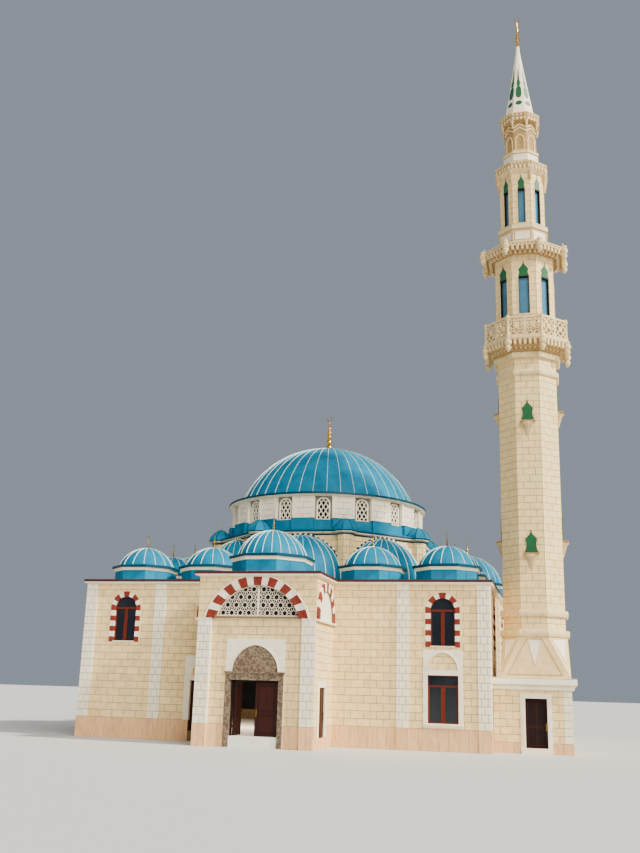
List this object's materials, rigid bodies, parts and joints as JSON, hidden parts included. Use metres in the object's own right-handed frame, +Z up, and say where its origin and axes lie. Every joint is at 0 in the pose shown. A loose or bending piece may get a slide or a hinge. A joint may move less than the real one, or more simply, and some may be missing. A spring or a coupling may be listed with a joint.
{
  "type": "mosque building",
  "caption": "Domed mosque with a square stone-clad hall, projecting arched entrance portal, small ribbed roof domes and a slender octagonal minaret with balcony and lanterns.",
  "frame": {"origin": "on the lowest ground level, straight under the centre of the main dome", "axes": "+Z up; -Y is the entrance front with the portal; +X is to the right of a person who faces the front, towards the minaret"},
  "size_m": [24.1386, 22.745, 39.117],
  "materials": {
    "cladding": "honed limestone slabs with fine joints",
    "pale_stone": "smooth cast stone",
    "roof_metal": "standing-seam sheet with a semi-gloss turquoise coating",
    "gilt": "polished gilt",
    "red_stone": "matt red stone",
    "dark_wood": "satin dark mahogany stain",
    "window_glass": "dark tinted pane",
    "lantern_glass": "blue tinted pane"
  },
  "bodies": {
    "building": {"floor_slab": "pale_stone", "front_wall_left": "cladding", "front_wall_right": "cladding", "left_wall_front": "cladding", "left_wall_rear": "cladding", "right_wall_front": "cladding", "right_wall_rear": "cladding", "rear_wall_left": "cladding", "rear_wall_right": "cladding", "portal_pier_left": "cladding", "portal_pier_right": "cladding", "portal_head": "cladding", "portal_wall_left": "cladding", "portal_wall_right": "cladding", "portal_arch": "red_stone", "portal_lattice": "pale_stone", "roof_slab": "cladding", "octagon_tier": "cladding", "tier_roof": "roof_metal", "semi_domes": "roof_metal", "drum": "cladding", "drum_glass": "window_glass", "dome_eave": "pale_stone", "main_dome": "roof_metal", "main_finial": "gilt", "portal_dome": "roof_metal", "left_front_domes": "roof_metal", "right_front_domes": "roof_metal", "left_side_domes": "roof_metal", "right_side_domes": "roof_metal", "rear_domes": "roof_metal", "minaret_base": "cladding", "minaret_front_left": "cladding", "minaret_front_right": "cladding", "minaret_front_head": "cladding", "minaret_transition": "cladding", "minaret_shaft": "cladding", "balcony": "cladding", "balcony_parapet": "pale_stone", "lower_lantern": "cladding", "lower_lantern_glass": "lantern_glass", "lower_canopy": "pale_stone", "upper_lantern": "cladding", "upper_lantern_glass": "lantern_glass", "upper_canopy": "pale_stone", "minaret_neck": "pale_stone", "minaret_cone": "pale_stone", "minaret_finial": "gilt", "main_door_frame": "dark_wood", "wing_door": "dark_wood", "portal_side_door": "dark_wood", "front_glass_left": "window_glass", "front_glass_right": "window_glass", "left_glass": "window_glass", "right_glass": "window_glass", "rear_glass": "window_glass"},
    "main_leaf_left": {"main_door_left": "dark_wood"},
    "main_leaf_right": {"main_door_right": "dark_wood"},
    "minaret_leaf": {"minaret_door": "dark_wood"}
  },
  "joints": [
    {"name": "main_door_left_hinge", "type": "hinge", "parent": "building", "child": "main_leaf_left", "pos_m": [-1.012, -12.455, 0.467], "axis": [0, 0, 1], "range_deg": [-90, 0]},
    {"name": "main_door_right_hinge", "type": "hinge", "parent": "building", "child": "main_leaf_right", "pos_m": [1.012, -12.455, 0.467], "axis": [0, 0, 1], "range_deg": [-90, 0]},
    {"name": "minaret_door_hinge", "type": "hinge", "parent": "building", "child": "minaret_leaf", "pos_m": [11.348, -8.107, 0.25], "axis": [0, 0, 1], "range_deg": [0, 90]}
  ]
}
